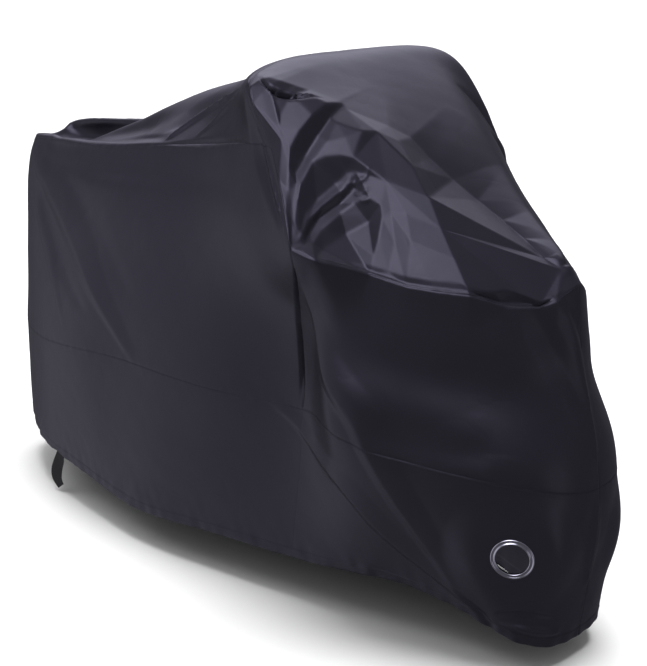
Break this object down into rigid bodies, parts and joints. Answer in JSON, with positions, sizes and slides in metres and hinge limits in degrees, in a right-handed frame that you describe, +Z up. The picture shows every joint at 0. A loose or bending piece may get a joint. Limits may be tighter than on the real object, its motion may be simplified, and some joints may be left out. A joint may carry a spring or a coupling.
{
  "type": "motorcycle cover",
  "caption": "Fitted motorcycle cover in coated cloth, draped as worn, with side seams, a stitched band, metal lock eyelets and a hem strap.",
  "frame": {"origin": "inside of the crown, where the handlebars carry the cover, on the centre plane", "axes": "+X towards the front wheel, +Y towards the far side, +Z up"},
  "size_m": [1.9199, 0.6904, 1.1992],
  "materials": {
    "cover_cloth": "satin, coated",
    "eyelet_metal": "polished",
    "webbing": "matte, woven"
  },
  "bodies": {
    "root": {"rear_top": "cover_cloth", "front_top": "cover_cloth", "rear_side_near": "cover_cloth", "rear_side_far": "cover_cloth", "front_side_near": "cover_cloth", "front_side_far": "cover_cloth", "rear_skirt_near": "cover_cloth", "rear_skirt_far": "cover_cloth", "front_skirt_near": "cover_cloth", "front_skirt_far": "cover_cloth", "eyelet_near": "eyelet_metal", "eyelet_far": "eyelet_metal", "hem_strap": "webbing"}
  },
  "joints": []
}
